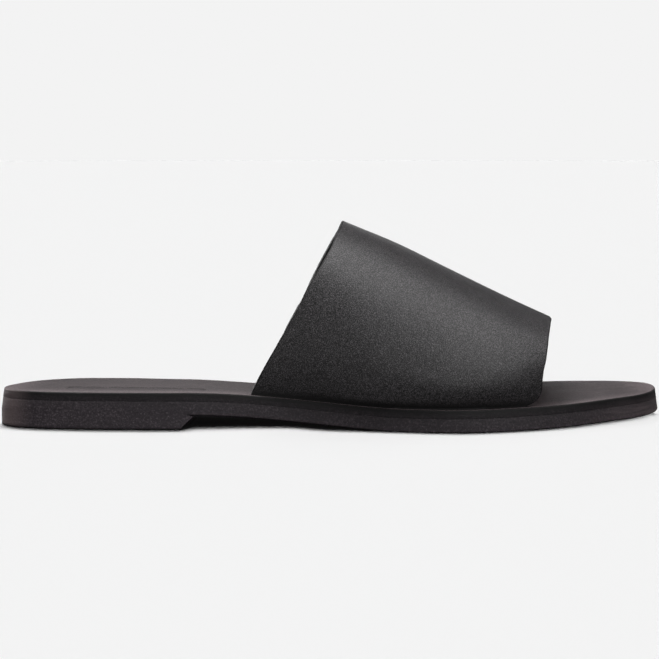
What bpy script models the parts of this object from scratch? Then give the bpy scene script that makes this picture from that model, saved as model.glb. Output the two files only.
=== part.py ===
"""Slide sandal for the right foot: one leather band over a flat leather sole with a low heel.

Metres. +X points to the toe, -Y to the outer (lateral) side, +Z up. The origin lies on the floor,
under the middle of the sole's box.
"""
import math

import bmesh
import bpy
from mathutils import Vector

# Driving sizes
SOLE_LENGTH = 0.258
FOOTBED_THICK = 0.0032
OUTSOLE_THICK = 0.0051
BAND_WALL = 0.0022
PIECE_GAP = 0.0003

# The side of the sole leans out towards the floor, and its corners are slightly rounded
TOP_INSET = 0.0010
STEP_INSET = 0.0003
EDGE_ROUND = 0.0005
HEEL_CORNER = 0.0011

# Front face of the heel, which slopes forward towards the sole
HEEL_BREAST_TOP = -0.0535
HEEL_BREAST_FOOT = -0.0580

# The band stands this far inside the sole's edge, at its rear and at its front
LEDGE_REAR = 0.0036
LEDGE_FRONT = 0.0052

# Angle over which the outline turns round the heel and the toe
END_TURN = 0.45

# Sole outline seen from above
OUTLINE = (
    # x, lateral y, medial y
    (-0.1290, -0.0150, -0.0150),
    (-0.1265, -0.0240, -0.0050),
    (-0.1180, -0.0302, 0.0080),
    (-0.1050, -0.0335, 0.0148),
    (-0.0850, -0.0354, 0.0158),
    (-0.0600, -0.0358, 0.0118),
    (-0.0300, -0.0330, 0.0105),
    (0.0000, -0.0352, 0.0185),
    (0.0250, -0.0410, 0.0335),
    (0.0450, -0.0440, 0.0412),
    (0.0700, -0.0412, 0.0440),
    (0.0900, -0.0348, 0.0430),
    (0.1080, -0.0243, 0.0376),
    (0.1200, -0.0163, 0.0305),
    (0.1265, -0.0055, 0.0225),
    (0.1290, 0.0110, 0.0110),
)

# Footbed's top face along the foot: heel seat, arch down to the ball on the floor, toe spring
HEEL_SEAT_Z = 0.0143
ARCH_START = -0.0600
ARCH_END = 0.0300
SPRING_START = 0.0460
SPRING_RISE = 0.0033
SPRING_POWER = 1.5

# Cross-sections of the band across the foot, from behind its rear edge to its front edge
BAND_SECTIONS = (
    # x, ridge z, ridge y, lateral bulge, medial bulge, widest share, width power, height power
    (-0.0300, 0.0925, -0.0060, 0.0058, 0.0140, 0.43, 0.98, 1.03),
    (0.0050, 0.0775, -0.0020, 0.0084, 0.0110, 0.37, 0.80, 0.93),
    (0.0250, 0.0690, 0.0010, 0.0061, 0.0075, 0.26, 0.70, 0.88),
    (0.0450, 0.0591, 0.0030, 0.0042, 0.0052, 0.21, 0.67, 0.91),
    (0.0700, 0.0469, 0.0045, 0.0039, 0.0042, 0.32, 0.67, 0.99),
    (0.0900, 0.0377, 0.0060, 0.0018, 0.0026, 0.51, 0.67, 1.06),
)
TUCK_POWER = 2.25

# Levels round the band: 0 at the foot, this at the widest place, 1 at the ridge
WIDEST_LEVEL = 0.38
LEVEL_POWER = 0.88

# Ends of the band at each level of its height, on the outer side and on the inner side
BAND_EDGES = (
    # level, lateral rear x, lateral front x, medial rear x, medial front x
    (0.00, -0.0317, 0.0790, -0.0262, 0.0866),
    (0.11, -0.0272, 0.0790, -0.0236, 0.0872),
    (0.24, -0.0217, 0.0789, -0.0202, 0.0881),
    (0.38, -0.0162, 0.0794, -0.0150, 0.0887),
    (0.58, -0.0107, 0.0803, -0.0096, 0.0891),
    (0.74, -0.0051, 0.0807, -0.0048, 0.0898),
    (0.86, -0.0010, 0.0809, -0.0010, 0.0906),
    (0.95, 0.0014, 0.0808, 0.0021, 0.0915),
    (1.00, 0.0032, 0.0802, 0.0032, 0.0924),
)

# The band's front corners are rounded where they come down to the footbed
CORNER_LENGTH = 0.0056
CORNER_LEVEL = 0.19
CORNER_POWER = 1.8
CORNER_LIFT = 0.0004

# Steps along each form
SOLE_STATIONS = 68
HEEL_STATIONS = 24
BAND_STATIONS = 22
ARCH_STEPS = 22
LOW_LEVELS = (0.0, 0.01, 0.03, 0.06, 0.11, 0.17, 0.24, 0.31)

LATERAL = -1
MEDIAL = 1


def clear_scene():
    for thing in list(bpy.data.objects):
        bpy.data.objects.remove(thing, do_unlink=True)


def through_rows(rows, column, key, place=None):
    """Smooth curve through one column of a table, read at a key of its first column."""
    keys = [place(row[0]) if place else row[0] for row in rows]
    values = [row[column] for row in rows]
    last = len(keys) - 1
    key = min(max(key, keys[0]), keys[last])
    steps = [(values[i + 1] - values[i]) / (keys[i + 1] - keys[i]) for i in range(last)]
    slopes = [steps[0]]
    for i in range(1, last):
        before = keys[i] - keys[i - 1]
        after = keys[i + 1] - keys[i]
        slopes.append((steps[i - 1] * after + steps[i] * before) / (before + after))
    slopes.append(steps[-1])
    i = 0
    while i < last - 1 and key > keys[i + 1]:
        i += 1
    width = keys[i + 1] - keys[i]
    t = (key - keys[i]) / width
    return (
        values[i] * (1 + 2 * t) * (1 - t) ** 2
        + slopes[i] * width * t * (1 - t) ** 2
        + values[i + 1] * t * t * (3 - 2 * t)
        + slopes[i + 1] * width * t * t * (t - 1)
    )


def end_angle(x, half_length=SOLE_LENGTH / 2):
    """Angle from 0 at the heel's back to pi at the toe, along which the round ends are smooth."""
    return math.acos(min(1.0, max(-1.0, -x / half_length)))


def edge_y(side, x, inset=0.0):
    """Sideways place of the sole's outline at x, moved inward by an inset."""
    angle = end_angle(x, SOLE_LENGTH / 2 - inset)
    y = through_rows(OUTLINE, 1 if side == LATERAL else 2, angle, end_angle)
    turn = min(1.0, min(angle, math.pi - angle) / END_TURN)
    return y - side * inset * math.sin(math.pi / 2 * turn)


def footbed_top(x):
    ball = FOOTBED_THICK + PIECE_GAP + OUTSOLE_THICK
    down = min(1.0, max(0.0, (x - ARCH_START) / (ARCH_END - ARCH_START)))
    arch = (HEEL_SEAT_Z - ball) * (1 - down * down * (3 - 2 * down))
    beyond = max(0.0, (x - SPRING_START) / (SOLE_LENGTH / 2 - SPRING_START))
    return ball + arch + SPRING_RISE * beyond**SPRING_POWER


def side_inset(drop):
    """How far the sole's leaning side lies inside its outline, at a drop below the footbed."""
    return TOP_INSET * (1 - drop / (FOOTBED_THICK + PIECE_GAP + OUTSOLE_THICK))


def full_stations(inset):
    half = SOLE_LENGTH / 2 - inset
    return [-half * math.cos(math.pi * i / SOLE_STATIONS) for i in range(SOLE_STATIONS + 1)]


def heel_stations(inset, breast):
    back = -(SOLE_LENGTH / 2 - inset)
    turns = [math.pi / 2 * i / HEEL_STATIONS for i in range(HEEL_STATIONS + 1)]
    return [back + (breast - back) * (1 - math.cos(turn)) for turn in turns]


def add_object(name, bm, material):
    bmesh.ops.recalc_face_normals(bm, faces=bm.faces[:])
    mesh = bpy.data.meshes.new(name)
    bm.to_mesh(mesh)
    bm.free()
    mesh.shade_smooth()
    mesh.set_sharp_from_angle(angle=math.radians(35))
    obj = bpy.data.objects.new(name, mesh)
    bpy.context.scene.collection.objects.link(obj)
    if material:
        mesh.materials.append(material)
    return obj


def add_face(bm, corners):
    """Face through the corners, without those that repeat where an outline closes at its tip."""
    kept = [v for i, v in enumerate(corners) if v is not corners[i - 1]]
    bm.faces.new(kept)


def sole_body(name, rings, closed_toe, material):
    """Closed body from rings of (inset, stations, height at x), listed from the top down."""
    bm = bmesh.new()
    sides = []
    for inset, stations, height in rings:
        lateral = [bm.verts.new((x, edge_y(LATERAL, x, inset), height(x))) for x in stations]
        inner = stations[1:-1] if closed_toe else stations[1:]
        medial = [bm.verts.new((x, edge_y(MEDIAL, x, inset), height(x))) for x in inner]
        medial.insert(0, lateral[0])
        if closed_toe:
            medial.append(lateral[-1])
        sides.append((lateral, medial))
    for (lateral_a, medial_a), (lateral_b, medial_b) in zip(sides, sides[1:]):
        for i in range(len(lateral_a) - 1):
            add_face(bm, (lateral_a[i], lateral_a[i + 1], lateral_b[i + 1], lateral_b[i]))
            add_face(bm, (medial_a[i], medial_b[i], medial_b[i + 1], medial_a[i + 1]))
        if not closed_toe:
            add_face(bm, (lateral_a[-1], medial_a[-1], medial_b[-1], lateral_b[-1]))
    for lateral, medial in (sides[0], sides[-1]):
        for i in range(len(lateral) - 1):
            add_face(bm, (lateral[i], lateral[i + 1], medial[i + 1], medial[i]))
    return add_object(name, bm, material)


def layer_rings(top_drop, bottom_drop, step, top_round, bottom_round):
    """Rings of one sole layer between two drops below the footbed's top, with rounded edges."""
    rows = (
        (step + side_inset(top_drop) + top_round, top_drop),
        (step + side_inset(top_drop), top_drop + top_round),
        (step + side_inset(bottom_drop), bottom_drop - bottom_round),
        (step + side_inset(bottom_drop) + bottom_round, bottom_drop),
    )
    return [
        (inset, full_stations(inset), lambda x, drop=drop: footbed_top(x) - drop)
        for inset, drop in rows
    ]


def build_outsole(material):
    top = FOOTBED_THICK + PIECE_GAP
    rings = layer_rings(top, top + OUTSOLE_THICK, 0.0, EDGE_ROUND / 2, EDGE_ROUND)
    return sole_body("outsole", rings, True, material)


def build_insole(material):
    rings = layer_rings(0.0, FOOTBED_THICK, STEP_INSET, EDGE_ROUND, EDGE_ROUND / 2)
    return sole_body("insole", rings, True, material)


def build_heel(material):
    drop = FOOTBED_THICK + OUTSOLE_THICK + 2 * PIECE_GAP

    def under_sole(x):
        return footbed_top(x) - drop

    def above_corner(x):
        return HEEL_CORNER

    def floor(x):
        return 0.0

    rows = (
        (0.0, HEEL_BREAST_TOP, under_sole),
        (0.0, HEEL_BREAST_FOOT, above_corner),
        (HEEL_CORNER, HEEL_BREAST_FOOT - EDGE_ROUND, floor),
    )
    rings = [(inset, heel_stations(inset, breast), height) for inset, breast, height in rows]
    return sole_body("heel", rings, False, material)


def ledge(x):
    share = (x - BAND_EDGES[0][1]) / (BAND_EDGES[0][2] - BAND_EDGES[0][1])
    return LEDGE_REAR + (LEDGE_FRONT - LEDGE_REAR) * min(1.0, max(0.0, share))


def band_base_y(side, x):
    """Outer face of the band where it goes down into the footbed."""
    return edge_y(side, x) - side * ledge(x)


def band_point(level, turn, x):
    """Point of the band's outer face at a level, and at a turn from 0 to pi over the arch."""
    ridge_z, ridge_y, lateral_bulge, medial_bulge, widest_share, width_power, height_power = (
        through_rows(BAND_SECTIONS, column, x) for column in range(1, 8)
    )
    foot = footbed_top(x) + CORNER_LIFT
    height = ridge_z - foot
    lean = -math.cos(turn)
    side = LATERAL if lean < 0 else MEDIAL
    lateral = band_base_y(LATERAL, x) - lateral_bulge
    medial = band_base_y(MEDIAL, x) + medial_bulge
    if level < WIDEST_LEVEL:
        low = level / WIDEST_LEVEL
        base = band_base_y(side, x)
        wide = lateral if side == LATERAL else medial
        out = 1 - (1 - low) ** TUCK_POWER
        return Vector((x, base + (wide - base) * out, foot + widest_share * low * height))
    middle = (lateral + medial) / 2
    half = (medial - lateral) / 2
    over = math.sin(turn) ** height_power
    swing = math.copysign(abs(lean) ** width_power, lean)
    y = middle + half * swing + (ridge_y - middle) * over * over
    return Vector((x, y, foot + height * (widest_share + (1 - widest_share) * over)))


def band_rows():
    """Rows round the band from the outer side to the inner side, as levels and turns."""
    rows = [(level, 0.0) for level in LOW_LEVELS]
    for i in range(ARCH_STEPS + 1):
        turn = math.pi * i / ARCH_STEPS
        over = math.sin(turn) ** LEVEL_POWER if 0 < i < ARCH_STEPS else 0.0
        rows.append((WIDEST_LEVEL + (1 - WIDEST_LEVEL) * over, turn))
    rows += [(level, math.pi) for level in reversed(LOW_LEVELS)]
    return rows


def band_ends(level, turn):
    """Rear and front x of a row, blended from side to side over the arch."""
    mix = 0.5 - 0.5 * math.cos(turn)
    rear = [through_rows(BAND_EDGES, column, level) for column in (1, 3)]
    front = [through_rows(BAND_EDGES, column, level) for column in (2, 4)]
    if level < CORNER_LEVEL:
        away = (1 - level / CORNER_LEVEL) ** CORNER_POWER
        short = 1 - (1 - away) ** (1 / CORNER_POWER)
        front = [x - CORNER_LENGTH * short for x in front]
    return rear[0] + (rear[1] - rear[0]) * mix, front[0] + (front[1] - front[0]) * mix


def band_grid():
    """Outer face of the band, row by row, with a straight tab at each end for the slots."""
    grid = []
    for level, turn in band_rows():
        rear, front = band_ends(level, turn)
        steps = [rear + (front - rear) * i / BAND_STATIONS for i in range(BAND_STATIONS + 1)]
        grid.append([band_point(level, turn, x) for x in steps])
    tab = FOOTBED_THICK + CORNER_LIFT
    grid.insert(0, [point - Vector((0, 0, tab)) for point in grid[0]])
    grid.append([point - Vector((0, 0, tab)) for point in grid[-1]])
    return grid


def thickened(grid, wall):
    """The grid moved inward along its own normals."""
    moved = []
    last_row = len(grid) - 1
    for r, row in enumerate(grid):
        last = len(row) - 1
        line = []
        for c, point in enumerate(row):
            along = row[min(c + 1, last)] - row[max(c - 1, 0)]
            around = grid[min(r + 1, last_row)][c] - grid[max(r - 1, 0)][c]
            line.append(point + wall * around.cross(along).normalized())
        moved.append(line)
    return moved


def sheet_body(name, outer, inner, material):
    """Closed body between two grids of the same size."""
    bm = bmesh.new()
    outer = [[bm.verts.new(point) for point in row] for row in outer]
    inner = [[bm.verts.new(point) for point in row] for row in inner]
    for r in range(len(outer) - 1):
        for c in range(len(outer[0]) - 1):
            for grid in (outer, inner):
                bm.faces.new((grid[r][c], grid[r][c + 1], grid[r + 1][c + 1], grid[r + 1][c]))
        for c in (0, -1):
            bm.faces.new((outer[r][c], outer[r + 1][c], inner[r + 1][c], inner[r][c]))
    for r in (0, -1):
        for c in range(len(outer[0]) - 1):
            bm.faces.new((outer[r][c], outer[r][c + 1], inner[r][c + 1], inner[r][c]))
    return add_object(name, bm, material)


def build_upper(material):
    outer = band_grid()
    return sheet_body("upper", outer, thickened(outer, BAND_WALL), material)


def slot_cutter(side):
    """Cutter for one slot: the band's own tab, made larger by the gap all round."""
    grid = band_grid()
    row = grid[0] if side == LATERAL else grid[-1]
    first = row[0] - PIECE_GAP * (row[1] - row[0]).normalized()
    last = row[-1] + PIECE_GAP * (row[-1] - row[-2]).normalized()
    line = [first] + row[1:-1] + [last]
    reach = Vector((0, 0, FOOTBED_THICK))
    low = [point - reach for point in line]
    high = [point + 2 * reach for point in line]
    middle = [low, high] if side == LATERAL else [high, low]
    outer = thickened(middle, -PIECE_GAP)
    inner = thickened(middle, BAND_WALL + PIECE_GAP)
    name = "outer_slot_cutter" if side == LATERAL else "inner_slot_cutter"
    cutter = sheet_body(name, outer, inner, None)
    cutter.hide_render = True
    cutter.display_type = "WIRE"
    return cutter


def cut(obj, cutter):
    modifier = obj.modifiers.new(cutter.name, "BOOLEAN")
    modifier.operation = "DIFFERENCE"
    modifier.solver = "EXACT"
    modifier.object = cutter


def leather(name, colour, roughness):
    material = bpy.data.materials.new(name)
    material.use_nodes = True
    shader = material.node_tree.nodes["Principled BSDF"]
    shader.inputs["Base Color"].default_value = (*colour, 1.0)
    shader.inputs["Roughness"].default_value = roughness
    return material


def build_sandal():
    clear_scene()
    band_leather = leather("band_leather", (0.018, 0.018, 0.018), 0.45)
    footbed_leather = leather("footbed_leather", (0.060, 0.048, 0.045), 0.60)
    sole_leather = leather("sole_leather", (0.022, 0.018, 0.017), 0.50)
    heel_leather = leather("heel_leather", (0.022, 0.018, 0.017), 0.50)
    build_upper(band_leather)
    insole = build_insole(footbed_leather)
    for side in (LATERAL, MEDIAL):
        cut(insole, slot_cutter(side))
    build_outsole(sole_leather)
    build_heel(heel_leather)


build_sandal()
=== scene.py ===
"""Finished look of the slide sandal: leather band, footbed, outsole and heel lift on a pale floor.

Metres, in the frame's own axes: +X to the toe, -Y to the outer side, +Z up, floor at z = 0.
"""
import math

import bmesh
import bpy
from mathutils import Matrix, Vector


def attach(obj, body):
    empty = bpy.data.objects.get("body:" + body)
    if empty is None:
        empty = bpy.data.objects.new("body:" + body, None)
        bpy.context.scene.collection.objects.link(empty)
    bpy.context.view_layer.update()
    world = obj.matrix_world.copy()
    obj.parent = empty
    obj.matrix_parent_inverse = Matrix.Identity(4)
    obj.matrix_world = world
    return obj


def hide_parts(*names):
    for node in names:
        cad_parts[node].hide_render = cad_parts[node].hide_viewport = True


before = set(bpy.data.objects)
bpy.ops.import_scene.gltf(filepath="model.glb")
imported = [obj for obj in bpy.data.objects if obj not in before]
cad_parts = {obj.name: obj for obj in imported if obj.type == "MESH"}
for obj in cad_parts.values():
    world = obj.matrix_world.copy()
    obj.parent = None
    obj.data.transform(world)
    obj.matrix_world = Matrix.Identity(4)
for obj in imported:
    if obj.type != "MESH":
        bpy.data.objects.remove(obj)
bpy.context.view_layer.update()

LATERAL = -1
MEDIAL = 1

# Sole: the same driving sizes as the solids have
SOLE_LENGTH = 0.258
HALF_LENGTH = SOLE_LENGTH / 2
FOOTBED_THICK = 0.0032
OUTSOLE_THICK = 0.0051
PIECE_GAP = 0.0003
SOLE_SIDE = FOOTBED_THICK + PIECE_GAP + OUTSOLE_THICK
TOP_INSET = 0.0010
HEEL_BREAST_TOP = -0.0535
HEEL_BREAST_FOOT = -0.0580
END_TURN = 0.45

# Sole outline seen from above
OUTLINE = (
    # x, lateral y, medial y
    (-0.1290, -0.0150, -0.0150),
    (-0.1265, -0.0240, -0.0050),
    (-0.1180, -0.0302, 0.0080),
    (-0.1050, -0.0335, 0.0148),
    (-0.0850, -0.0354, 0.0158),
    (-0.0600, -0.0358, 0.0118),
    (-0.0300, -0.0330, 0.0105),
    (0.0000, -0.0352, 0.0185),
    (0.0250, -0.0410, 0.0335),
    (0.0450, -0.0440, 0.0412),
    (0.0700, -0.0412, 0.0440),
    (0.0900, -0.0348, 0.0430),
    (0.1080, -0.0243, 0.0376),
    (0.1200, -0.0163, 0.0305),
    (0.1265, -0.0055, 0.0225),
    (0.1290, 0.0110, 0.0110),
)

# Footbed's top face along the foot: heel seat, arch down to the ball on the floor, toe spring
HEEL_SEAT_Z = 0.0143
ARCH_START = -0.0600
ARCH_END = 0.0300
SPRING_START = 0.0460
SPRING_RISE = 0.0033
SPRING_POWER = 1.5

# Band: cross-sections across the foot, from behind its rear edge to its front edge
BAND_WALL = 0.0022
BAND_SECTIONS = (
    # x, ridge z, ridge y, lateral bulge, medial bulge, widest share, width power, height power
    (-0.0300, 0.0925, -0.0060, 0.0058, 0.0140, 0.43, 0.98, 1.03),
    (0.0050, 0.0775, -0.0020, 0.0084, 0.0110, 0.37, 0.80, 0.93),
    (0.0250, 0.0690, 0.0010, 0.0061, 0.0075, 0.26, 0.70, 0.88),
    (0.0450, 0.0591, 0.0030, 0.0042, 0.0052, 0.21, 0.67, 0.91),
    (0.0700, 0.0469, 0.0045, 0.0039, 0.0042, 0.32, 0.67, 0.99),
    (0.0900, 0.0377, 0.0060, 0.0018, 0.0026, 0.51, 0.67, 1.06),
)
TUCK_POWER = 2.25
LEDGE_REAR = 0.0036
LEDGE_FRONT = 0.0052

# Levels round the band: 0 at the foot, this at the widest place, 1 at the ridge
WIDEST_LEVEL = 0.38
LEVEL_POWER = 0.88

# Ends of the band at each level of its height, on the outer side and on the inner side
BAND_EDGES = (
    # level, lateral rear x, lateral front x, medial rear x, medial front x
    (0.00, -0.0317, 0.0790, -0.0262, 0.0866),
    (0.11, -0.0272, 0.0790, -0.0236, 0.0872),
    (0.24, -0.0217, 0.0789, -0.0202, 0.0881),
    (0.38, -0.0162, 0.0794, -0.0150, 0.0887),
    (0.58, -0.0107, 0.0803, -0.0096, 0.0891),
    (0.74, -0.0051, 0.0807, -0.0048, 0.0898),
    (0.86, -0.0010, 0.0809, -0.0010, 0.0906),
    (0.95, 0.0014, 0.0808, 0.0021, 0.0915),
    (1.00, 0.0032, 0.0802, 0.0032, 0.0924),
)

# Rounded lower front corner of the band, its rounded cut edges, and the painted shade at its foot
CORNER_LENGTH = 0.0056
CORNER_LEVEL = 0.19
CORNER_POWER = 1.8
CORNER_LIFT = 0.0004
CUT_ROUND = 0.00055
FOOT_SHADE_HEIGHT = 0.0042

# Edges of the sole's layers: rounding, and how closely they meet
EDGE_ROUND = 0.00065
SEAM_ROUND = 0.00008
SEAM_FILL = 0.00024
SEAM_GAP = 0.00002

# Footbed: worn heel seat, softened slots and the width from which it is divided in full
SEAT_DISH = 0.00035
SEAT_MIN_WIDTH = 0.03
FULL_WIDTH = 0.036
LIP_DROP = 0.00030
LIP_REACH = 0.0007
SLOT_CLEAR = 0.0008
SLOT_STEP = 0.0004

# Plain bar pressed into the heel seat, with a raised middle, and the finely divided strip round it
MARK_CENTRE = Vector((-0.0765, -0.0185))
MARK_SLOPE = -0.12
MARK_LENGTH = 0.0550
MARK_WIDTH = 0.0085
MARK_ROUND = 0.0020
MARK_DEPTH = 0.00035
MARK_WALL = 0.0006
MARK_PANEL_EDGE = 0.0013
MARK_PANEL_INNER = 0.0019
MARK_PANEL_RISE = 0.55
MARK_REACH = 0.0060
MARK_MARGIN = 0.0015
MARK_STEP = 0.00045
MARK_STRAIGHT = 0.0350
MARK_BLEND_START = 0.0340
MARK_BLEND_END = 0.0600

# Heel lift: rounded tread edge, and the open seam in front of its upper edge
HEEL_CORNER = 0.0011
BREAST_NOTCH = 0.0003
NOTCH_START = -0.0575

# Painted light on the footbed's rim; the sole's edge from the footbed's ink down, with painted light
# and shade from end to end and painted shade on its bottom edge
RIM_OUTER = 0.0170
RIM_INNER = 0.0060
RIM_INNER_SHARE = 0.5
BLEND_TOP = 0.0022
BLEND_FOOT = 0.0044
LIT_TIP_START = 0.0850
LIT_BACK_START = -0.1140
FRONT_SHADE_START = -0.0700
FRONT_SHADE_END = 0.0200
UNDER_SHADE_HEIGHT = 0.0006

# Fineness of the modelled surfaces
BAND_STATIONS = 96
BAND_LOW_STEPS = 26
LOW_SPREAD = 1.6
BAND_ARCH_STEPS = 96
CUT_STEPS = 4
CORNER_STEPS = 4
SOLE_STATIONS = 150
SOLE_STEPS = 36
HEEL_STATIONS = 70
HEEL_SIDE_STEPS = 8
RAIL_STEPS = (12, 5, 12, 26, 16, 5, 12, 0)
SOLE_CREASE = 50
SAME_PLACE = 1e-6

# Material slots of the pieces
OUTER_FACE, CUT_FACE, INNER_FACE = range(3)
TOP_FACE, EDGE_FACE = range(2)
SIDE_FACE, UNDER_FACE = range(2)

# Camera: a level side view from a little above, as in the photograph
CAMERA_PLACE = (-0.0018, -0.82908, 0.1121)
CAMERA_AIM = (-0.0018, -0.0325, 0.0382)
CAMERA_LENS = 115.29
CAMERA_SENSOR = 36.0

# Studio: the shoe's lights stand round it, from azimuth 0 on the camera's side to 90 at the toe
LIGHT_AIM = Vector((0.02, 0.0, 0.03))
LIGHT_REACH = 1.3
LIGHT_SIZE = 0.5
STUDIO_LIGHTS = (
    # name, azimuth, elevation, power
    ("heel_high", -90, 72, 17.2),
    ("heel_low", -90, -20, 11.3),
    ("back_heel", 225, 15, 7.5),
    ("top", 0, 90, 3.7),
    ("front_low", 22, 18, 3.3),
    ("front_high", 22, 54, 2.6),
    ("front_toe", 45, 36, 1.9),
    ("toe_high", 90, 54, 1.7),
    ("front_level", 0, 0, 1.2),
    ("toe_top", 90, 72, 1.2),
    ("front_level_toe", 22, 0, 1.1),
    ("camera_side", 0, 54, 0.9),
    ("back_toe", 135, 15, 0.8),
    ("front_corner", 45, 54, 0.8),
    ("low_heel_side", -22, -20, 0.5),
    ("back", 180, 15, 0.5),
)
WORLD_STRENGTH = 0.05
FLOOR_LIGHTS = (
    # name, azimuth, elevation, angle across, strength
    ("floor_behind", 180, 57, 36, 3.25),
    ("floor_front", 0, 24, 24, 0.65),
)
FLOOR_REACH = 12.0
FLOOR_TONE = (0.90, 0.90, 0.90)
PAPER_ROUGHNESS = 0.9
BACKDROP_RADIUS = 8.0
BACKDROP_SEGMENTS = 64
BACKDROP_TONE = (0.896, 0.896, 0.896)

# Card inside the sole that shades the floor, drawn in where the arch and the toe are off the floor
CARD_INSET = 0.0012
CARD_HEIGHT = 0.0085
CARD_DROP = 0.0020
CARD_ARCH_HEIGHT = 0.0120
CARD_ARCH_END = -0.0200
CARD_ARCH_INSET = 0.0080
CARD_TOE_SLOPE = 6.5


def smooth(low, high, value):
    """0 below low, 1 above high, and an even curve between them."""
    t = min(1.0, max(0.0, (value - low) / (high - low)))
    return t * t * (3 - 2 * t)


def through_rows(rows, column, key, place=None):
    """Smooth curve through one column of a table, read at a key of its first column."""
    keys = [place(row[0]) if place else row[0] for row in rows]
    values = [row[column] for row in rows]
    last = len(keys) - 1
    key = min(max(key, keys[0]), keys[last])
    steps = [(values[i + 1] - values[i]) / (keys[i + 1] - keys[i]) for i in range(last)]
    slopes = [steps[0]]
    for i in range(1, last):
        before = keys[i] - keys[i - 1]
        after = keys[i + 1] - keys[i]
        slopes.append((steps[i - 1] * after + steps[i] * before) / (before + after))
    slopes.append(steps[-1])
    i = 0
    while i < last - 1 and key > keys[i + 1]:
        i += 1
    width = keys[i + 1] - keys[i]
    t = (key - keys[i]) / width
    return (
        values[i] * (1 + 2 * t) * (1 - t) ** 2
        + slopes[i] * width * t * (1 - t) ** 2
        + values[i + 1] * t * t * (3 - 2 * t)
        + slopes[i + 1] * width * t * t * (t - 1)
    )


def end_angle(x, half_length=HALF_LENGTH):
    """Angle from 0 at the heel's back to pi at the toe, along which the round ends are smooth."""
    return math.acos(min(1.0, max(-1.0, -x / half_length)))


def edge_y(side, x, inset=0.0):
    """Sideways place of the sole's outline at x, moved inward by an inset."""
    angle = end_angle(x, HALF_LENGTH - inset)
    y = through_rows(OUTLINE, 1 if side == LATERAL else 2, angle, end_angle)
    turn = min(1.0, min(angle, math.pi - angle) / END_TURN)
    return y - side * inset * math.sin(math.pi / 2 * turn)


def footbed_top(x):
    """Height of the footbed along the foot, before the worn heel seat."""
    down = min(1.0, max(0.0, (x - ARCH_START) / (ARCH_END - ARCH_START)))
    arch = (HEEL_SEAT_Z - SOLE_SIDE) * (1 - down * down * (3 - 2 * down))
    beyond = max(0.0, (x - SPRING_START) / (HALF_LENGTH - SPRING_START))
    return SOLE_SIDE + arch + SPRING_RISE * beyond**SPRING_POWER


def side_inset(drop):
    """How far the sole's leaning side lies inside its outline, at a drop below the footbed."""
    return TOP_INSET * (1 - drop / SOLE_SIDE)


def add_object(name, data):
    """Object in the scene for a mesh, a light or a camera."""
    obj = bpy.data.objects.new(name, data)
    bpy.context.scene.collection.objects.link(obj)
    return obj


def add_piece(name, bm, materials, node, crease=40):
    """Object from a bmesh that stands for a node and rides with the shoe."""
    bmesh.ops.recalc_face_normals(bm, faces=bm.faces[:])
    mesh = bpy.data.meshes.new(name)
    bm.to_mesh(mesh)
    bm.free()
    mesh.shade_smooth()
    mesh.set_sharp_from_angle(angle=math.radians(crease))
    for material in materials:
        mesh.materials.append(material)
    obj = add_object(name, mesh)
    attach(obj, "root")
    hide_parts(node)
    return obj


def paint(obj, name, value_at):
    """Value at each point of a piece, which its material reads by name."""
    layer = obj.data.attributes.new(name, "FLOAT", "POINT")
    layer.data.foreach_set("value", [value_at(vertex.co) for vertex in obj.data.vertices])


def paint_edge(obj):
    """Places on the sole's edge: drop below the footbed, toe tip and heel's back where light is
    painted on, and rear to front for painted light at the rear and painted shade at the front.
    """
    paint(obj, "drop", lambda p: smooth(BLEND_TOP, BLEND_FOOT, footbed_top(p.x) - p.z))
    paint(obj, "tip", lambda p: smooth(LIT_TIP_START, HALF_LENGTH, p.x))
    paint(obj, "back", lambda p: smooth(LIT_BACK_START, -HALF_LENGTH, p.x))
    paint(obj, "rear_light_front_shade", lambda p: smooth(FRONT_SHADE_START, FRONT_SHADE_END, p.x))


def add_face(bm, corners, slot=0):
    """Face through the corners, without those that repeat where rows of points meet."""
    kept = [v for i, v in enumerate(corners) if v is not corners[i - 1]]
    if len(kept) > 2:
        bm.faces.new(kept).material_index = slot


# Band


def ledge(x):
    """Width of the footbed's strip outside the band."""
    share = (x - BAND_EDGES[0][1]) / (BAND_EDGES[0][2] - BAND_EDGES[0][1])
    return LEDGE_REAR + (LEDGE_FRONT - LEDGE_REAR) * min(1.0, max(0.0, share))


def band_base_y(side, x):
    """Outer face of the band where it goes down into the footbed."""
    return edge_y(side, x) - side * ledge(x)


def band_point(level, turn, x):
    """Point of the band's outer face at a level, and at a turn from 0 to pi over the arch."""
    ridge_z, ridge_y, lateral_bulge, medial_bulge, widest_share, width_power, height_power = (
        through_rows(BAND_SECTIONS, column, x) for column in range(1, 8)
    )
    foot = footbed_top(x) + CORNER_LIFT
    height = ridge_z - foot
    lean = -math.cos(turn)
    side = LATERAL if lean < 0 else MEDIAL
    lateral = band_base_y(LATERAL, x) - lateral_bulge
    medial = band_base_y(MEDIAL, x) + medial_bulge
    if level < WIDEST_LEVEL:
        low = level / WIDEST_LEVEL
        base = band_base_y(side, x)
        wide = lateral if side == LATERAL else medial
        out = 1 - (1 - low) ** TUCK_POWER
        return Vector((x, base + (wide - base) * out, foot + widest_share * low * height))
    middle = (lateral + medial) / 2
    half = (medial - lateral) / 2
    over = math.sin(turn) ** height_power
    swing = math.copysign(abs(lean) ** width_power, lean)
    y = middle + half * swing + (ridge_y - middle) * over * over
    return Vector((x, y, foot + height * (widest_share + (1 - widest_share) * over)))


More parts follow.
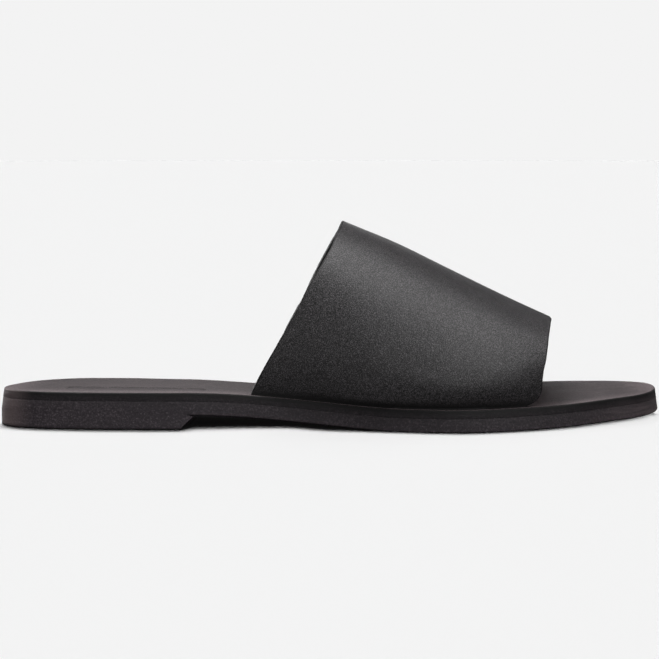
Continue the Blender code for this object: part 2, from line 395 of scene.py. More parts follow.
def band_rows():
    """Rows round the band from the outer side to the inner side, as levels and turns."""
    low = [WIDEST_LEVEL * (i / BAND_LOW_STEPS) ** LOW_SPREAD for i in range(BAND_LOW_STEPS)]
    rows = [(level, 0.0) for level in low]
    for i in range(BAND_ARCH_STEPS + 1):
        turn = math.pi * i / BAND_ARCH_STEPS
        over = math.sin(turn) ** LEVEL_POWER if 0 < i < BAND_ARCH_STEPS else 0.0
        rows.append((WIDEST_LEVEL + (1 - WIDEST_LEVEL) * over, turn))
    return rows + [(level, math.pi) for level in reversed(low)]


def band_ends(level, turn):
    """Rear and front x of a row, blended from side to side over the arch."""
    mix = 0.5 - 0.5 * math.cos(turn)
    rear = [through_rows(BAND_EDGES, column, level) for column in (1, 3)]
    front = [through_rows(BAND_EDGES, column, level) for column in (2, 4)]
    if level < CORNER_LEVEL:
        away = (1 - level / CORNER_LEVEL) ** CORNER_POWER
        short = 1 - (1 - away) ** (1 / CORNER_POWER)
        front = [x - CORNER_LENGTH * short for x in front]
    return rear[0] + (rear[1] - rear[0]) * mix, front[0] + (front[1] - front[0]) * mix


def band_grid():
    """Outer face of the band, row by row, with a straight tab at each end for the slots."""
    grid = []
    for level, turn in band_rows():
        rear, front = band_ends(level, turn)
        steps = [rear + (front - rear) * i / BAND_STATIONS for i in range(BAND_STATIONS + 1)]
        grid.append([band_point(level, turn, x) for x in steps])
    tab = FOOTBED_THICK + CORNER_LIFT
    grid.insert(0, [point - Vector((0, 0, tab)) for point in grid[0]])
    grid.append([point - Vector((0, 0, tab)) for point in grid[-1]])
    return grid


def inward(grid):
    """Unit normals of a grid of points, towards the inside of the arch."""
    normals = []
    last_row = len(grid) - 1
    for r, row in enumerate(grid):
        last = len(row) - 1
        line = []
        for c in range(len(row)):
            along = row[min(c + 1, last)] - row[max(c - 1, 0)]
            around = grid[min(r + 1, last_row)][c] - grid[max(r - 1, 0)][c]
            line.append(around.cross(along).normalized())
        normals.append(line)
    return normals


def cut_arcs(end, beside, normal):
    """Rounded cut edge at one end of a row, from the outer face round to the inner face."""
    out = (end - beside).normalized()
    corner = end - CUT_ROUND * out
    points = []
    for depth, start in ((CUT_ROUND, 0.0), (BAND_WALL - CUT_ROUND, math.pi / 2)):
        for i in range(CUT_STEPS + 1):
            angle = math.pi / 2 * i / CUT_STEPS + start
            swing = math.sin(angle) * out - math.cos(angle) * normal
            points.append(corner + depth * normal + CUT_ROUND * swing)
    return points


def band_section(row, normals):
    """Closed section along one row: outer face, rounded front cut, inner face, rounded rear cut."""
    inner = [point + BAND_WALL * normal for point, normal in zip(row[1:-1], normals[1:-1])]
    front = cut_arcs(row[-1], row[-2], normals[-1])
    rear = cut_arcs(row[0], row[1], normals[0])
    section = [(point, OUTER_FACE) for point in row[1:-1]]
    section += [(point, CUT_FACE) for point in front]
    section += [(point, INNER_FACE) for point in reversed(inner)]
    section += [(point, CUT_FACE) for point in reversed(rear)]
    return section


def build_band(leather, cut_edge, lining):
    """One hollow strap with its wall, its lining side and its rounded cut edges."""
    grid = band_grid()
    bm = bmesh.new()
    loops = []
    for row, line in zip(grid, inward(grid)):
        section = band_section(row, line)
        loops.append([bm.verts.new(point) for point, slot in section])
    slots = [slot for point, slot in section]
    count = len(slots)
    for low, high in zip(loops, loops[1:]):
        for i in range(count):
            k = (i + 1) % count
            slot = slots[i] if slots[i] != CUT_FACE else slots[k]
            add_face(bm, (low[i], low[k], high[k], high[i]), slot)
    for loop in (loops[0], loops[-1]):
        bm.faces.new(loop).material_index = CUT_FACE
    band = add_piece("band", bm, (leather, cut_edge, lining), "upper")
    paint(band, "foot_shade", lambda p: 1 - smooth(0.0, FOOT_SHADE_HEIGHT, p.z - footbed_top(p.x)))
    return band


# Sole layers


def sole_stations():
    """Places along the sole, closer together at the round ends."""
    turns = [math.pi * i / SOLE_STATIONS for i in range(SOLE_STATIONS + 1)]
    return [-HALF_LENGTH * math.cos(turn) for turn in turns]


def slot_ends(side):
    """Rear and front x of the slot on a side."""
    column = 1 if side == LATERAL else 3
    return BAND_EDGES[0][column] - PIECE_GAP, BAND_EDGES[0][column + 1] - CORNER_LENGTH + PIECE_GAP


def footbed_stations():
    """Places along the footbed, close together at the pressed bar and at the slots' ends."""
    reach = MARK_LENGTH / 2 + MARK_MARGIN
    count = round(2 * reach / MARK_STEP)
    fine = [MARK_CENTRE.x - reach + 2 * reach * i / count for i in range(count + 1)]
    kept = [x for x in sole_stations() if not fine[0] - MARK_STEP < x < fine[-1] + MARK_STEP]
    ends = [x for side in (LATERAL, MEDIAL) for x in slot_ends(side)]
    kept = [x for x in kept if min(abs(x - end) for end in ends) > SLOT_CLEAR]
    for end in ends:
        kept += [end, end - SLOT_STEP, end + SLOT_STEP]
    return sorted(kept + fine)


def mark_line(x):
    """Middle of the finely divided strip of the footbed, which follows the pressed bar."""
    along = x - MARK_CENTRE.x
    bar = MARK_CENTRE.y + MARK_SLOPE * max(-MARK_STRAIGHT, min(MARK_STRAIGHT, along))
    middle = (edge_y(LATERAL, x) + edge_y(MEDIAL, x)) / 2
    return bar + (middle - bar) * smooth(MARK_BLEND_START, MARK_BLEND_END, abs(along))


def footbed_rails(x, inset):
    """Lines across the footbed at x as (y, steps to the next line), from the outer edge inward."""
    low = edge_y(LATERAL, x, inset)
    high = edge_y(MEDIAL, x, inset)
    full = min(1.0, max(0.0, (high - low) / FULL_WIDTH))
    outer = (ledge(x) - PIECE_GAP - inset) * full
    inner = (ledge(x) + BAND_WALL + PIECE_GAP - inset) * full
    mark = mark_line(x)
    reach = MARK_REACH * full
    strip_low = max(low + (mark - reach - low) * full, low + inner)
    strip_high = min(high + (mark + reach - high) * full, high - inner)
    places = (low, low + outer, low + inner, strip_low, strip_high, high - inner, high - outer, high)
    return tuple(zip(places, RAIL_STEPS))


def slot_columns():
    """First and last column of the outer and of the inner slot, counted along the rails."""
    counts = [sum(RAIL_STEPS[:i]) for i in range(len(RAIL_STEPS))]
    return (counts[1], counts[2]), (counts[5], counts[6])


def plain_rails(x, inset):
    """The outsole's two edges at x, with even steps between them."""
    return ((edge_y(LATERAL, x, inset), SOLE_STEPS), (edge_y(MEDIAL, x, inset), 0))


def rail_points(rails):
    """Places across a face from its outer to its inner edge."""
    ys = []
    for (y, steps), (after, _) in zip(rails, rails[1:]):
        ys += [y + (after - y) * i / steps for i in range(steps)]
    return ys + [rails[-1][0]]


def mark_depth(x, y):
    """Depth of the plain pressed bar, a rounded rectangle with a shallow raised middle."""
    along = x - MARK_CENTRE.x
    across = y - MARK_CENTRE.y - MARK_SLOPE * along
    dx = max(0.0, abs(along) - (MARK_LENGTH / 2 - MARK_ROUND))
    dy = max(0.0, abs(across) - (MARK_WIDTH / 2 - MARK_ROUND))
    outside = math.hypot(dx, dy) - MARK_ROUND
    if dx == 0.0 and dy == 0.0:
        outside = max(abs(along) - MARK_LENGTH / 2, abs(across) - MARK_WIDTH / 2)
    pressed = 1 - smooth(-MARK_WALL, 0.0, outside)
    middle = 1 - smooth(-MARK_PANEL_INNER, -MARK_PANEL_EDGE, outside)
    return MARK_DEPTH * (pressed - MARK_PANEL_RISE * middle)


def lip(x, y):
    """Softening of the footbed's surface where the band goes down into its slots."""
    deepest = 0.0
    for side in (LATERAL, MEDIAL):
        start, end = slot_ends(side)
        if start - 3 * LIP_REACH < x < end + 3 * LIP_REACH:
            middle = edge_y(side, x) - side * (ledge(x) + BAND_WALL / 2)
            away = max(0.0, abs(y - middle) - BAND_WALL / 2 - PIECE_GAP)
            beyond = max(0.0, start - x, x - end)
            deepest = max(deepest, math.exp(-((away**2 + beyond**2) / LIP_REACH**2)))
    return LIP_DROP * deepest


def footbed_height(x, y, inset):
    """Top face of the footbed with the worn-in heel seat, the slots' lips and the pressed bar."""
    low = edge_y(LATERAL, x, inset)
    high = edge_y(MEDIAL, x, inset)
    width = max(SAME_PLACE, high - low)
    across = (2 * y - low - high) / width
    dish = SEAT_DISH * max(0.0, 1 - across * across) * smooth(0.0, SEAT_MIN_WIDTH, width)
    return footbed_top(x) - dish - lip(x, y) - mark_depth(x, y)


def lit_border_share(x, y):
    """1 at the footbed's outer rim, where light is painted on, and 0 in its darker middle."""
    ends = HALF_LENGTH - abs(x)
    outer = 1 - smooth(0.0, RIM_OUTER, min(y - edge_y(LATERAL, x), ends))
    inner = 1 - smooth(0.0, RIM_INNER, min(edge_y(MEDIAL, x) - y, ends))
    return max(outer, RIM_INNER_SHARE * inner)


def ring_points(bm, stations, inset, height):
    """Closed ring of the outline at an inset, as two lists of points that share their tips."""
    scale = (HALF_LENGTH - inset) / HALF_LENGTH
    places = [x * scale for x in stations]
    lateral = [bm.verts.new((x, edge_y(LATERAL, x, inset), height(x))) for x in places]
    medial = [bm.verts.new((x, edge_y(MEDIAL, x, inset), height(x))) for x in places[1:-1]]
    return lateral, [lateral[0]] + medial + [lateral[-1]]


def drop_rings(bm, stations, rows):
    """Rings of the outline, one for each row of an inset and a drop below the footbed."""
    return [
        ring_points(bm, stations, inset, lambda x, drop=drop: footbed_top(x) - drop)
        for inset, drop in rows
    ]


def bridge(bm, upper, lower, slot):
    """Faces between two rings."""
    for (a, b), flip in zip(zip(upper, lower), (False, True)):
        for i in range(len(a) - 1):
            corners = (a[i], a[i + 1], b[i + 1], b[i])
            add_face(bm, corners[::-1] if flip else corners, slot)


def rounded_edge(inset, drop, radius, top):
    """Insets and drops going down round an edge, either a layer's top edge or its bottom edge."""
    rows = []
    for i in range(CORNER_STEPS + 1):
        turn = math.pi / 2 * i / CORNER_STEPS
        from_side = radius * (1 - math.sin(turn))
        from_face = radius * (1 - math.cos(turn))
        if top:
            rows.append((inset + from_side, drop + from_face))
        else:
            rows.append((inset + from_face, drop - from_side))
    return rows


def face_points(bm, stations, inset, rails_at, height, ring):
    """Rows of points across a top or bottom face, station by station, out to a ring's points."""
    scale = (HALF_LENGTH - inset) / HALF_LENGTH
    lateral, medial = ring
    grid = []
    for i, station in enumerate(stations):
        x = station * scale
        ys = rail_points(rails_at(x, inset))[1:-1]
        if 0 < i < len(stations) - 1:
            inner = [bm.verts.new((x, y, height(x, y))) for y in ys]
        else:
            inner = [lateral[i]] * len(ys)
        grid.append([lateral[i]] + inner + [medial[i]])
    return grid


def grid_faces(bm, grid, slot, flip, holes=()):
    """Faces between the points of a grid, with the cells in the holes left out."""
    for i in range(len(grid) - 1):
        for j in range(len(grid[0]) - 1):
            if (i, j) not in holes:
                corners = (grid[i][j], grid[i + 1][j], grid[i + 1][j + 1], grid[i][j + 1])
                add_face(bm, corners[::-1] if flip else corners, slot)


def open_slot(bm, top, bottom, inside, first, last):
    """Walls round a slot through the footbed; gives the cells that both faces leave open."""
    rim = [(i, first) for i in inside] + [(inside[-1], j) for j in range(first + 1, last + 1)]
    rim += [(i, last) for i in reversed(inside[:-1])]
    rim += [(inside[0], j) for j in range(last - 1, first, -1)]
    for (i, j), (k, m) in zip(rim, rim[1:] + rim[:1]):
        add_face(bm, (top[i][j], top[k][m], bottom[k][m], bottom[i][j]), EDGE_FACE)
    return {(i, j) for i in inside[:-1] for j in range(first, last)}


def build_footbed(top_leather, edge_leather):
    """Footbed with a rounded rim, two slots for the band, a worn heel seat and the pressed bar."""
    bm = bmesh.new()
    stations = footbed_stations()
    rows = rounded_edge(side_inset(0.0), 0.0, EDGE_ROUND, True)
    rows += rounded_edge(side_inset(FOOTBED_THICK), FOOTBED_THICK, SEAM_ROUND, False)
    top_inset = rows[0][0]
    low_inset = rows[-1][0]
    rings = drop_rings(bm, stations, rows)
    for k, (upper, lower) in enumerate(zip(rings, rings[1:])):
        bridge(bm, upper, lower, EDGE_FACE if k else TOP_FACE)
    top = face_points(
        bm, stations, top_inset, footbed_rails,
        lambda x, y: footbed_height(x, y, top_inset), rings[0],
    )
    bottom = face_points(
        bm, stations, low_inset, footbed_rails,
        lambda x, y: footbed_top(x) - FOOTBED_THICK, rings[-1],
    )
    holes = set()
    for side, (first, last) in zip((LATERAL, MEDIAL), slot_columns()):
        start, end = slot_ends(side)
        inside = [i for i, x in enumerate(stations) if start - SAME_PLACE <= x <= end + SAME_PLACE]
        holes |= open_slot(bm, top, bottom, inside, first, last)
    grid_faces(bm, top, TOP_FACE, False, holes)
    grid_faces(bm, bottom, EDGE_FACE, True, holes)
    materials = (top_leather, edge_leather)
    footbed = add_piece("footbed", bm, materials, "insole", SOLE_CREASE)
    # Painted light on the footbed's outer rim
    paint(footbed, "lit_border", lambda p: lit_border_share(p.x, p.y))
    paint(footbed, "pressed", lambda p: mark_depth(p.x, p.y) / MARK_DEPTH)
    # Painted shade along the top of the footbed's inked edge
    paint(footbed, "crown_shade", lambda p: 1 - smooth(EDGE_ROUND, 2 * EDGE_ROUND, footbed_top(p.x) - p.z))
    paint_edge(footbed)
    return footbed


def painted_rim_shade(point):
    """1 at the outsole's bottom edge in front of the heel lift, fading out just above it, where shade
    is painted on.
    """
    near_floor = smooth(SOLE_SIDE - UNDER_SHADE_HEIGHT, SOLE_SIDE, footbed_top(point.x) - point.z)
    return near_floor * smooth(HEEL_BREAST_FOOT, HEEL_BREAST_TOP, point.x)


def build_outsole(edge_leather, under_leather):
    """Outsole with its arch and toe spring, flush with the footbed at the seam."""
    bm = bmesh.new()
    stations = sole_stations()
    top_drop = FOOTBED_THICK + PIECE_GAP - SEAM_FILL
    rows = rounded_edge(side_inset(top_drop), top_drop, SEAM_ROUND, True)
    rows += rounded_edge(0.0, SOLE_SIDE, EDGE_ROUND, False)
    rings = drop_rings(bm, stations, rows)
    for upper, lower in zip(rings, rings[1:]):
        bridge(bm, upper, lower, SIDE_FACE)
    top = face_points(
        bm, stations, rows[0][0], plain_rails, lambda x, y: footbed_top(x) - top_drop, rings[0]
    )
    bottom = face_points(
        bm, stations, rows[-1][0], plain_rails, lambda x, y: footbed_top(x) - SOLE_SIDE, rings[-1]
    )
    grid_faces(bm, top, SIDE_FACE, False)
    grid_faces(bm, bottom, UNDER_FACE, True)
    materials = (edge_leather, under_leather)
    outsole = add_piece("outsole_leather", bm, materials, "outsole", SOLE_CREASE)
    paint_edge(outsole)
    paint(outsole, "under", painted_rim_shade)
    return outsole


def heel_stations(inset, breast):
    """Places along the heel lift from its back to its front face, closer together at the back."""
    back = -(HALF_LENGTH - inset)
    turns = [math.pi / 2 * i / HEEL_STATIONS for i in range(HEEL_STATIONS + 1)]
    return [back + (breast - back) * (1 - math.cos(turn)) for turn in turns]


def heel_rows():
    """Rows down the heel's side: inset, front face's x, share of the height, rise, fall."""
    seam = rounded_edge(0.0, 0.0, EDGE_ROUND, False)
    rows = [(inset, HEEL_BREAST_TOP - inset, 0.0, -drop, 0.0) for inset, drop in reversed(seam)]
    for k in range(1, HEEL_SIDE_STEPS + 1):
        share = k / HEEL_SIDE_STEPS
        breast = HEEL_BREAST_TOP + (HEEL_BREAST_FOOT - HEEL_BREAST_TOP) * share
        rows.append((0.0, breast, share, 0.0, 0.0))
    for inset, drop in rounded_edge(0.0, 0.0, HEEL_CORNER, False)[1:]:
        rows.append((inset, HEEL_BREAST_FOOT - inset / 2, 1.0, 0.0, HEEL_CORNER + drop))
    return rows


def build_heel(edge_leather, tread):
    """Heel lift, whose upper edge fills the outsole's rounded edge except for a notch in front."""
    bm = bmesh.new()
    rings = []
    for inset, breast, share, rise, fall in heel_rows():
        lateral = []
        medial = []
        for i, x in enumerate(heel_stations(inset, breast)):
            open_notch = smooth(NOTCH_START, HEEL_BREAST_TOP, x)
            top = footbed_top(x) - SOLE_SIDE - SEAM_GAP - BREAST_NOTCH * open_notch
            top += rise * (1 - open_notch)
            z = top + (HEEL_CORNER - top) * share - fall
            lateral.append(bm.verts.new((x, edge_y(LATERAL, x, inset), z)))
            if i:
                medial.append(bm.verts.new((x, edge_y(MEDIAL, x, inset), z)))
        rings.append((lateral, [lateral[0]] + medial))
    for upper, lower in zip(rings, rings[1:]):
        bridge(bm, upper, lower, SIDE_FACE)
        add_face(bm, (upper[0][-1], upper[1][-1], lower[1][-1], lower[0][-1]), SIDE_FACE)
    for (lateral, medial), slot in ((rings[0], SIDE_FACE), (rings[-1], UNDER_FACE)):
        for i in range(len(lateral) - 1):
            add_face(bm, (lateral[i], lateral[i + 1], medial[i + 1], medial[i]), slot)
    heel = add_piece("heel_lift", bm, (edge_leather, tread), "heel", SOLE_CREASE)
    paint_edge(heel)
    # Painted shade on the heel's bottom corner next to the floor
    paint(heel, "under", lambda p: 1 - smooth(0.0, HEEL_CORNER, p.z))
    return heel


# Materials


class Nodes:
    """Small helper that adds and links nodes of one material."""

    def __init__(self, name):
        self.material = bpy.data.materials.new(name)
        self.material.use_nodes = True
        self.tree = self.material.node_tree
        self.shader = self.tree.nodes["Principled BSDF"]
        self.place = self.tree.nodes.new("ShaderNodeTexCoord").outputs["Object"]

    def add(self, kind, **settings):
        node = self.tree.nodes.new(kind)
        for key, value in settings.items():
            setattr(node, key, value)
        return node

    def link(self, source, target):
        self.tree.links.new(source, target)

    def stretched(self, scale):
        """Object coordinates in metres, stretched along each axis."""
        mapping = self.add("ShaderNodeMapping")
        mapping.inputs["Scale"].default_value = scale
        self.link(self.place, mapping.inputs["Vector"])
        return mapping.outputs["Vector"]

    def noise(self, scale, detail=3.0, rough=0.5, place=None):
        """Soft noise, its scale in waves per metre."""
        node = self.add("ShaderNodeTexNoise")
        node.inputs["Scale"].default_value = scale
        node.inputs["Detail"].default_value = detail
        node.inputs["Roughness"].default_value = rough
        self.link(place or self.place, node.inputs["Vector"])
        return node.outputs["Fac"]

    def cells(self, scale):
        """Rounded grain cells, their scale in cells per metre."""
        node = self.add("ShaderNodeTexVoronoi", feature="SMOOTH_F1")
        node.inputs["Scale"].default_value = scale
        self.link(self.place, node.inputs["Vector"])
        return node.outputs["Distance"]

    def painted(self, name):
        """Value that a piece carries at its points."""
        return self.add("ShaderNodeAttribute", attribute_name=name).outputs["Fac"]

    def levels(self, source, low, high, to_low=0.0, to_high=1.0):
        """Value spread from one range to another, and held at its ends."""
        node = self.add("ShaderNodeMapRange")
        ranges = {"From Min": low, "From Max": high, "To Min": to_low, "To Max": to_high}
        for key, value in ranges.items():
            node.inputs[key].default_value = value
        self.link(source, node.inputs["Value"])
        return node.outputs["Result"]

    def math(self, operation, a, b):
        """Sum or product of two values, each a number or a socket."""
        node = self.add("ShaderNodeMath", operation=operation)
        for value, socket in zip((a, b), node.inputs):
            if isinstance(value, (int, float)):
                socket.default_value = value
            else:
                self.link(value, socket)
        return node.outputs[0]

    def mix(self, factor, a, b):
        """Blend of two colours, each a tuple or a socket."""
        node = self.add("ShaderNodeMix", data_type="RGBA")
        self.link(factor, node.inputs["Factor"])
        for value, key in ((a, 6), (b, 7)):
            if isinstance(value, tuple):
                node.inputs[key].default_value = (*value, 1.0)
            else:
                self.link(value, node.inputs[key])
        return node.outputs[2]

    def scaled(self, colour, factor):
        """Colour made lighter or darker by a value."""
        node = self.add("ShaderNodeVectorMath", operation="SCALE")
        self.link(colour, node.inputs[0])
        self.link(factor, node.inputs["Scale"])
        return node.outputs["Vector"]

    def bump(self, height, strength, distance, under=None):
        """Normal of a fine relief, on top of a broader one if given."""
        node = self.add("ShaderNodeBump")
        node.inputs["Strength"].default_value = strength
        node.inputs["Distance"].default_value = distance
        self.link(height, node.inputs["Height"])
        if under:
            self.link(under, node.inputs["Normal"])
        return node.outputs["Normal"]

    def finish(self, colour, roughness, normal, specular=0.5):
        """The material, with these linked to its shader."""
        self.link(colour, self.shader.inputs["Base Color"])
        self.link(roughness, self.shader.inputs["Roughness"])
        self.link(normal, self.shader.inputs["Normal"])
        self.shader.inputs["Specular IOR Level"].default_value = specular
        return self.material


def shade_of(tone, share):
    """A colour's tone made lighter or darker."""
    return tuple(share * value for value in tone)


def band_leather():
    """Black smooth calf leather: very fine even grain, satin finish, faint cloudy gloss."""
    cloud_tones = (0.0105, 0.0098, 0.0104), (0.0140, 0.0131, 0.0139)
    pore_tone = (0.0005, 0.0005, 0.0005)
    glint_tone = (0.0880, 0.0815, 0.0865)
    foot_shade_tone = (0.001, 0.001, 0.001)
    n = Nodes("band_leather")
    cells = n.cells(1500.0)
    fine = n.noise(3700.0, 0.0, 0.5)
    cloud = n.noise(55.0, 3.0, 0.55)
    grain = n.math("ADD", n.math("MULTIPLY", cells, 0.7), n.math("MULTIPLY", fine, 0.6))
    soft = n.bump(cloud, 0.10, 0.0006)
    normal = n.bump(grain, 0.50, 0.00015, soft)
    tone = n.mix(n.levels(cloud, 0.35, 0.65), *cloud_tones)
    colour = n.mix(n.levels(fine, 0.43, 0.52), pore_tone, tone)
    colour = n.mix(n.levels(fine, 0.54, 0.64), colour, glint_tone)
    # Painted shade at the band's foot, where it goes down into the footbed
    foot = n.painted("foot_shade")
    colour = n.mix(foot, colour, foot_shade_tone)
    roughness = n.levels(n.noise(90.0, 3.0, 0.6), 0.3, 0.7, 0.40, 0.48)
    roughness = n.math("ADD", roughness, n.math("MULTIPLY", foot, 0.35))
    return n.finish(colour, roughness, normal)


def band_cut_edge():
    """Painted cut edge: smooth black with slight waves."""
    tones = (0.007, 0.0065, 0.0068), (0.013, 0.012, 0.0125)
    n = Nodes("band_cut_edge")
    wave = n.noise(500.0, 2.0, 0.5)
    normal = n.bump(wave, 0.3, 0.0002)
    colour = n.mix(n.noise(300.0), *tones)
    return n.finish(colour, n.levels(wave, 0.3, 0.7, 0.55, 0.70), normal, 0.22)


def band_lining():
    """Black lining leather, a little duller and with a coarser soft grain."""
    tones = (0.003, 0.0028, 0.0028), (0.007, 0.0065, 0.0065)
    n = Nodes("band_lining")
    cells = n.cells(900.0)
    fine = n.noise(1800.0, 3.0, 0.6)
    normal = n.bump(n.math("ADD", cells, fine), 0.5, 0.00015)
    colour = n.mix(n.noise(70.0, 4.0), *tones)
    return n.finish(colour, n.levels(fine, 0.3, 0.7, 0.66, 0.78), normal, 0.12)


def footbed_leather():
    """Dark mauve-brown footbed leather with soft streaks along the foot, and painted light that makes
    its outer rim lighter.
    """
    centre_tones = (0.024, 0.0185, 0.0198), (0.052, 0.0405, 0.0430)
    lit_border_tones = (0.098, 0.077, 0.081), (0.140, 0.111, 0.117)
    pressed_tone = (0.012, 0.009, 0.0095)
    pore_tone = (0.016, 0.0127, 0.0135)
    glint_tone = (0.108, 0.085, 0.090)
    n = Nodes("footbed_leather")
    streaks = n.noise(60.0, 4.0, 0.6, n.stretched((0.30, 3.2, 1.0)))
    fine = n.noise(1500.0, 3.0, 0.7)
    normal = n.bump(n.math("ADD", n.cells(1100.0), fine), 0.40, 0.00025)
    worn = n.mix(n.levels(streaks, 0.32, 0.68), *centre_tones)
    lit_border = n.mix(n.levels(streaks, 0.32, 0.68), *lit_border_tones)
    # Painted light: lighter towards the outer rim than in the middle
    tone = n.mix(n.painted("lit_border"), worn, lit_border)
    tone = n.mix(n.math("MULTIPLY", n.painted("pressed"), 0.75), tone, pressed_tone)
    colour = n.mix(n.levels(fine, 0.36, 0.55), pore_tone, tone)
    colour = n.mix(n.levels(fine, 0.54, 0.72), colour, glint_tone)
    return n.finish(colour, n.levels(streaks, 0.3, 0.7, 0.52, 0.64), normal, 0.38)


def sole_edge():
    """Sanded and inked edge of the leather layers: dark ink above a mottled, paler tone, with painted
    light at the ends and the rear, and painted shade at the front, along the ink's top and on the
    bottom edge.
    """
    ink_tone = (0.0066, 0.0054, 0.0062)
    crown_shade_tone = (0.0012, 0.0010, 0.0011)
    dark_tone = (0.036, 0.0298, 0.0345)
    light_tone = (0.056, 0.0460, 0.0525)
    lit_tip_tone = (0.100, 0.080, 0.085)
    lit_back_tone = (0.205, 0.160, 0.161)
    under_shade_tone = (0.002, 0.002, 0.002)
    n = Nodes("sole_edge")
    fibres = n.noise(420.0, 5.0, 0.65, n.stretched((0.22, 0.22, 2.0)))
    speck = n.noise(1400.0, 3.0, 0.75)
    patch = n.noise(45.0, 3.0, 0.5)
    height = n.math("ADD", n.math("MULTIPLY", fibres, 0.8), n.math("MULTIPLY", speck, 0.7))
    normal = n.bump(height, 0.6, 0.00025)
    rear_light_front_shade = n.painted("rear_light_front_shade")
    back = n.painted("back")
    under = n.painted("under")
    tone = n.mix(n.levels(patch, 0.35, 0.65), dark_tone, light_tone)
    colour = n.mix(n.levels(speck, 0.42, 0.62), shade_of(dark_tone, 0.62), tone)
    colour = n.mix(n.levels(speck, 0.56, 0.74), colour, shade_of(light_tone, 1.7))
    # Painted light towards the rear of the edge
    colour = n.scaled(colour, n.levels(rear_light_front_shade, 0.0, 1.0, 1.32, 1.04))
    # Painted light: the toe tip and the heel's back are lighter
    ends = n.math("MULTIPLY", n.painted("tip"), n.levels(fibres, 0.36, 0.60, 0.25, 1.0))
    colour = n.mix(ends, colour, lit_tip_tone)
    colour = n.mix(n.math("MULTIPLY", back, 0.85), colour, lit_back_tone)
    ink = n.mix(n.levels(speck, 0.40, 0.65), shade_of(ink_tone, 0.75), shade_of(ink_tone, 1.3))
    # Painted shade on the ink towards the front
    ink = n.scaled(ink, n.levels(rear_light_front_shade, 0.0, 1.0, 0.95, 0.55))
    # Painted shade: a dark line along the top of the ink
    ink = n.mix(n.math("MULTIPLY", n.painted("crown_shade"), 0.7), ink, crown_shade_tone)
    # Painted light on the ink at the heel's back
    ink = n.mix(n.math("MULTIPLY", back, 0.5), ink, lit_back_tone)
    colour = n.mix(n.painted("drop"), ink, colour)
    # Painted shade on the bottom edges of the outsole and the heel
    colour = n.mix(under, colour, under_shade_tone)
    rough = n.levels(fibres, 0.3, 0.7, 0.55, 0.69)
    rough = n.math("ADD", rough, n.math("MULTIPLY", under, 0.3))
    return n.finish(colour, rough, normal, 0.26)


def sole_leather():
    """Underside: dark sole leather with a fine grain and faint scuffs along the foot."""
    tones = (0.022, 0.018, 0.017), (0.034, 0.028, 0.026)
    scuff_tone = (0.060, 0.050, 0.046)
    n = Nodes("sole_leather")
    fine = n.noise(1300.0, 4.0, 0.65)
    scuffs = n.noise(140.0, 6.0, 0.7, n.stretched((0.25, 3.0, 1.0)))
    normal = n.bump(n.math("ADD", n.cells(850.0), fine), 0.45, 0.0002)
    normal = n.bump(scuffs, 0.2, 0.0003, normal)
    tone = n.mix(n.levels(n.noise(40.0), 0.35, 0.65), *tones)
    colour = n.mix(n.levels(scuffs, 0.56, 0.70), tone, scuff_tone)
    return n.finish(colour, n.levels(scuffs, 0.35, 0.70, 0.48, 0.66), normal)


def heel_tread():
    """Heel's tread face: dull dark rubber-like leather board."""
    tones = (0.016, 0.014, 0.013), (0.032, 0.028, 0.026)
    n = Nodes("heel_tread")
    speck = n.noise(1100.0, 4.0, 0.7)
    normal = n.bump(speck, 0.5, 0.0002)
    colour = n.mix(n.levels(speck, 0.4, 0.65), *tones)
    return n.finish(colour, n.levels(speck, 0.3, 0.7, 0.6, 0.75), normal)


# Stage


def plain(name, colour):
    """Dull paper of one colour."""
    material = bpy.data.materials.new(name)
    material.use_nodes = True
    shader = material.node_tree.nodes["Principled BSDF"]
    shader.inputs["Base Color"].default_value = (*colour, 1.0)
    shader.inputs["Roughness"].default_value = PAPER_ROUGHNESS
    shader.inputs["Specular IOR Level"].default_value = 0.0
    return material


def keep_out_of_light(obj):
    """Stage piece that neither blocks light nor sends any back to the shoe."""
    obj.visible_diffuse = False
    obj.visible_glossy = False
    obj.visible_shadow = False


def build_floor():
    """Wide plain floor, which takes only the shoe's soft contact shadow."""
    mesh = bpy.data.meshes.new("floor")
    signs = ((-1, -1), (1, -1), (1, 1), (-1, 1))
    corners = [(x * FLOOR_REACH, y * FLOOR_REACH, 0) for x, y in signs]
    mesh.from_pydata(corners, [], [(0, 1, 2, 3)])
    mesh.materials.append(plain("floor_paper", FLOOR_TONE))
    floor = add_object("floor", mesh)
    keep_out_of_light(floor)
    return floor


def build_backdrop():
    """Even pale surround, of the floor's own brightness."""
    bm = bmesh.new()
    bmesh.ops.create_uvsphere(
        bm, u_segments=BACKDROP_SEGMENTS, v_segments=BACKDROP_SEGMENTS // 2, radius=BACKDROP_RADIUS
    )
    mesh = bpy.data.meshes.new("backdrop")
    bm.to_mesh(mesh)
    bm.free()
    material = bpy.data.materials.new("backdrop_paper")
    material.use_nodes = True
    tree = material.node_tree
    glow = tree.nodes.new("ShaderNodeEmission")
    glow.inputs["Color"].default_value = (*BACKDROP_TONE, 1.0)
    tree.links.new(glow.outputs["Emission"], tree.nodes["Material Output"].inputs["Surface"])
    mesh.materials.append(material)
    backdrop = add_object("backdrop", mesh)
    keep_out_of_light(backdrop)


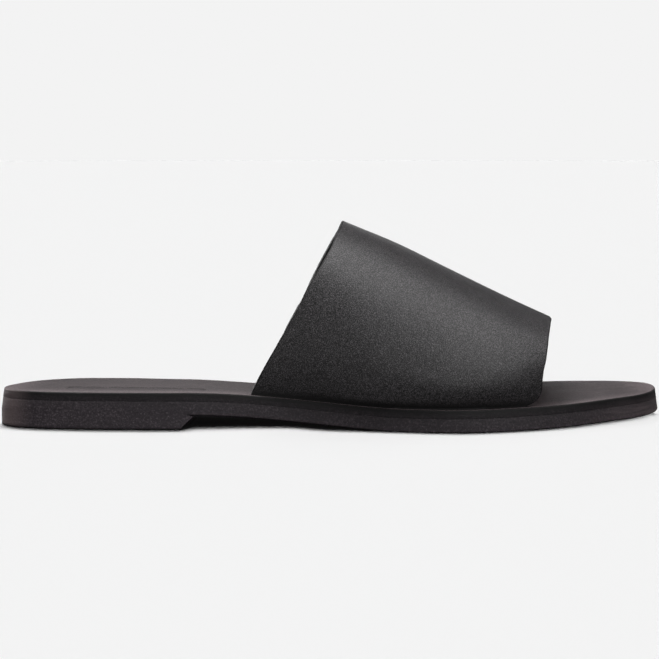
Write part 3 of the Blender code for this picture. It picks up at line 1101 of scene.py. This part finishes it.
def card_section(x):
    """Outer y, inner y and height of the shadow card, drawn in where the arch and the toe lift off."""
    arch = smooth(HEEL_BREAST_FOOT, HEEL_BREAST_TOP, x) * (1 - smooth(CARD_ARCH_END, 0.0, x))
    lift = footbed_top(x) - footbed_top(SPRING_START) if x > SPRING_START else 0.0
    inner = edge_y(MEDIAL, x) - CARD_INSET
    outer = edge_y(LATERAL, x) + CARD_INSET + CARD_ARCH_INSET * arch + CARD_TOE_SLOPE * lift
    height = CARD_HEIGHT + (CARD_ARCH_HEIGHT - CARD_HEIGHT) * arch
    return min(outer, inner), inner, min(height, footbed_top(x) - CARD_DROP)


def build_shadow_card():
    """Unseen card inside the sole, which shades the floor under it and a little way in front."""
    bm = bmesh.new()
    sections = []
    for x in sole_stations():
        outer, inner, height = card_section(x)
        places = ((outer, 0.0), (outer, height), (inner, height), (inner, 0.0))
        sections.append([bm.verts.new((x, y, z)) for y, z in places])
    for near, far in zip(sections, sections[1:]):
        for i in range(3):
            bm.faces.new((near[i], near[i + 1], far[i + 1], far[i]))
    mesh = bpy.data.meshes.new("shadow_card")
    bm.to_mesh(mesh)
    bm.free()
    mesh.materials.append(plain("card", (0.0, 0.0, 0.0)))
    card = add_object("shadow_card", mesh)
    card.visible_camera = False
    card.visible_diffuse = False
    card.visible_glossy = False
    return card


def add_light(name, kind, power, receivers):
    """Light of a kind that lights only the receivers."""
    data = bpy.data.lights.new(name, kind)
    data.energy = power
    light = add_object(name, data)
    light.visible_camera = False
    lit = bpy.data.collections.new(name + "_receivers")
    for obj in receivers:
        lit.objects.link(obj)
    light.light_linking.receiver_collection = lit
    return light


def towards(azimuth, elevation):
    """Direction from the shoe at an azimuth and an elevation in degrees."""
    side = math.radians(azimuth)
    height = math.radians(elevation)
    flat = math.cos(height)
    return Vector((math.sin(side) * flat, -math.cos(side) * flat, math.sin(height)))


def build_light(pieces, floor, card):
    """Soft square lights round the shoe, those from below for the band alone, and the floor's suns."""
    world = bpy.data.worlds.new("studio")
    bpy.context.scene.world = world
    world.use_nodes = True
    background = world.node_tree.nodes["Background"]
    background.inputs["Color"].default_value = (1.0, 1.0, 1.0, 1.0)
    background.inputs["Strength"].default_value = WORLD_STRENGTH
    for name, azimuth, elevation, power in STUDIO_LIGHTS:
        light = add_light(name, "AREA", power, pieces if elevation >= 0 else pieces[:1])
        light.data.shape = "SQUARE"
        light.data.size = LIGHT_SIZE
        away = towards(azimuth, elevation)
        light.location = LIGHT_AIM + LIGHT_REACH * away
        light.rotation_euler = (-away).to_track_quat("-Z", "Y").to_euler()
    shade = bpy.data.collections.new("floor_shade")
    shade.objects.link(card)
    for name, azimuth, elevation, across, strength in FLOOR_LIGHTS:
        light = add_light(name, "SUN", strength, [floor])
        light.data.angle = math.radians(across)
        light.rotation_euler = (-towards(azimuth, elevation)).to_track_quat("-Z", "Y").to_euler()
        light.light_linking.blocker_collection = shade


def build_camera():
    """Camera at the photograph's angle to the shoe."""
    data = bpy.data.cameras.new("camera")
    data.lens = CAMERA_LENS
    data.sensor_width = CAMERA_SENSOR
    camera = add_object("camera", data)
    camera.location = CAMERA_PLACE
    look = Vector(CAMERA_AIM) - Vector(CAMERA_PLACE)
    camera.rotation_euler = look.to_track_quat("-Z", "Y").to_euler()
    bpy.context.scene.camera = camera


edge_leather = sole_edge()
pieces = [
    build_band(band_leather(), band_cut_edge(), band_lining()),
    build_footbed(footbed_leather(), edge_leather),
    build_outsole(edge_leather, sole_leather()),
    build_heel(edge_leather, heel_tread()),
]
floor = build_floor()
build_backdrop()
build_light(pieces, floor, build_shadow_card())
build_camera()
bpy.context.scene.view_settings.view_transform = "Standard"
